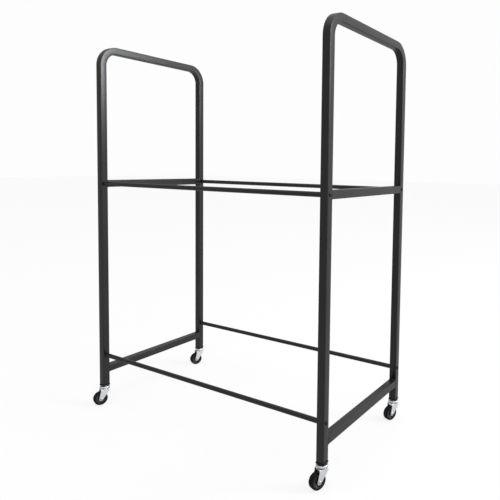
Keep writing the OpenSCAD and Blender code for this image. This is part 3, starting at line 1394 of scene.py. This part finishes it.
def build_casters(finishes: Finishes) -> None:
    """Models one caster and puts it under all four legs.

    Args:
        finishes: The materials.
    """
    hoop_low, hoop_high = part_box("left_hoop")
    feet, wheels = {}, {}
    for row in Row:
        for side in Side:
            corner = f"{row.value}_{side.value}"
            low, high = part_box(f"{corner}_socket")
            feet[corner] = Vector(((low.x + high.x) / 2, (low.y + high.y) / 2, 0.0))
            low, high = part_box(f"{corner}_tread")
            wheels[corner] = (low + high) / 2
    arm = wheels["front_left"] - feet["front_left"]
    caster = Caster(
        finishes,
        leg_foot=hoop_low.z,
        tube=hoop_high.x - hoop_low.x,
        trail=Vector((arm.x, arm.y)).length,
        wheel_radius=wheels["front_left"].z,
    )
    caster.build()
    for corner, foot in feet.items():
        arm = wheels[corner] - foot
        caster.place_at(corner, foot, math.atan2(arm.y, arm.x))
    remove(*caster.models.values())


# ---------------------------------------------------------------- studio


@dataclass(frozen=True)
class Softbox:
    """A soft rectangular light: where it stands, what it faces, its size and its power in watts."""

    name: str
    place: Triple
    aim: Triple
    size: Point
    power: float


RIGHT_SOFTBOX = Softbox("right_softbox", (6.4, 3.5, 3.0), (0.0, 0.0, 1.1), (2.2, 2.2), 225)
TOP_SOFTBOX = Softbox("top_softbox", (0.6, -0.3, 3.4), (0.0, 0.0, 0.8), (2.6, 2.0), 15)


@dataclass
class Studio:
    """White paper floor, soft surround and the camera."""

    camera_place: Triple = (1.31236, -1.53882, 0.96493)
    camera_turn_degrees: Triple = (86.3809, -0.9663, 30.8818)
    lens: float = 37.760
    sensor: float = 36.0
    shift: Point = (-0.16716, -0.10244)
    floor_size: float = 60.0
    seen_white: float = 0.985
    surround_dim: float = 0.45
    surround_bright: float = 1.00
    bright_direction: Triple = (0.72, 0.12, 0.68)
    dim_end: float = -0.35
    bright_end: float = 1.1
    lamp_tint: Colour = (0.95, 0.97, 1.0)

    def floor(self) -> None:
        """Lays the paper floor, which only the camera sees and which throws no light back."""
        bpy.ops.object.select_all(action="DESELECT")
        bpy.ops.mesh.primitive_plane_add(size=self.floor_size, location=(0, 0, 0))
        floor = bpy.context.object
        floor.name = "studio_floor"
        floor.data.materials.append(StudioPaper().make())
        floor.visible_diffuse = False
        floor.visible_glossy = False

    def surround(self) -> None:
        """A plain surround that is brighter overhead and to the right, and white where it is seen."""
        world = bpy.data.worlds.new("studio_surround")
        bpy.context.scene.world = world
        world.use_nodes = True
        nodes, links = world.node_tree.nodes, world.node_tree.links
        nodes.clear()
        direction = nodes.new("ShaderNodeTexCoord")
        slope = nodes.new("ShaderNodeVectorMath")
        slope.operation = "DOT_PRODUCT"
        slope.inputs[1].default_value = self.bright_direction
        links.new(direction.outputs["Generated"], slope.inputs[0])
        level = nodes.new("ShaderNodeMapRange")
        level.interpolation_type = "SMOOTHSTEP"
        level.inputs["From Min"].default_value = self.dim_end
        level.inputs["From Max"].default_value = self.bright_end
        level.inputs["To Min"].default_value = self.surround_dim
        level.inputs["To Max"].default_value = self.surround_bright
        links.new(slope.outputs["Value"], level.inputs["Value"])
        lit = nodes.new("ShaderNodeBackground")
        links.new(level.outputs[0], lit.inputs["Strength"])
        seen = nodes.new("ShaderNodeBackground")
        seen.inputs["Strength"].default_value = self.seen_white
        for background in (lit, seen):
            background.inputs["Color"].default_value = (1.0, 1.0, 1.0, 1.0)
        ray = nodes.new("ShaderNodeLightPath")
        choice = nodes.new("ShaderNodeMixShader")
        links.new(ray.outputs["Is Camera Ray"], choice.inputs[0])
        links.new(lit.outputs[0], choice.inputs[1])
        links.new(seen.outputs[0], choice.inputs[2])
        output = nodes.new("ShaderNodeOutputWorld")
        links.new(choice.outputs[0], output.inputs[0])

    def lamp(self, box: Softbox) -> None:
        """Adds a soft rectangular light.

        Args:
            box: The light's place, aim, size and power.
        """
        lamp = bpy.data.lights.new(box.name, "AREA")
        lamp.shape = "RECTANGLE"
        lamp.size, lamp.size_y = box.size
        lamp.energy = box.power
        lamp.color = self.lamp_tint
        holder = bpy.data.objects.new(box.name, lamp)
        holder.location = box.place
        beam = Vector(box.aim) - Vector(box.place)
        holder.rotation_euler = beam.to_track_quat("-Z", "Y").to_euler()
        bpy.context.scene.collection.objects.link(holder)

    def camera(self) -> None:
        """Sets up the camera."""
        data = bpy.data.cameras.new("camera")
        data.lens = self.lens
        data.sensor_width = self.sensor
        data.shift_x, data.shift_y = self.shift
        data.dof.use_dof = False
        camera = bpy.data.objects.new("camera", data)
        camera.location = self.camera_place
        camera.rotation_euler = [math.radians(a) for a in self.camera_turn_degrees]
        bpy.context.scene.collection.objects.link(camera)
        bpy.context.scene.camera = camera

    def build(self) -> None:
        """Sets up the floor, the light and the camera."""
        self.floor()
        self.surround()
        self.lamp(RIGHT_SOFTBOX)
        self.lamp(TOP_SOFTBOX)
        self.camera()
        view = bpy.context.scene.view_settings
        view.view_transform = "Standard"
        view.look = "None"


# ---------------------------------------------------------------- assembly


def dress_frame(finishes: Finishes) -> None:
    """Dresses the frame's CAD nodes that keep their shape.

    Args:
        finishes: The materials.
    """
    for tier in Tier:
        for side in Side:
            finishes.dress_node(f"{side.value}_{tier.value}_crossbar", finishes.paint)
        for row in Row:
            finishes.dress_node(f"{row.value}_{tier.value}_rail", finishes.paint)
    finishes.dress_node("rail_end_inserts", finishes.oxide)


def main() -> None:
    """Builds the rack's looks in order."""
    logging.basicConfig(level=logging.INFO, format="%(message)s")
    finishes = Finishes()
    for side in Side:
        SideHoop(side, finishes).build()
    dress_frame(finishes)
    WeldBeads(finishes).build()
    RailBolts(finishes).build()
    build_casters(finishes)
    Studio().build()


if __name__ == "__main__":
    main()
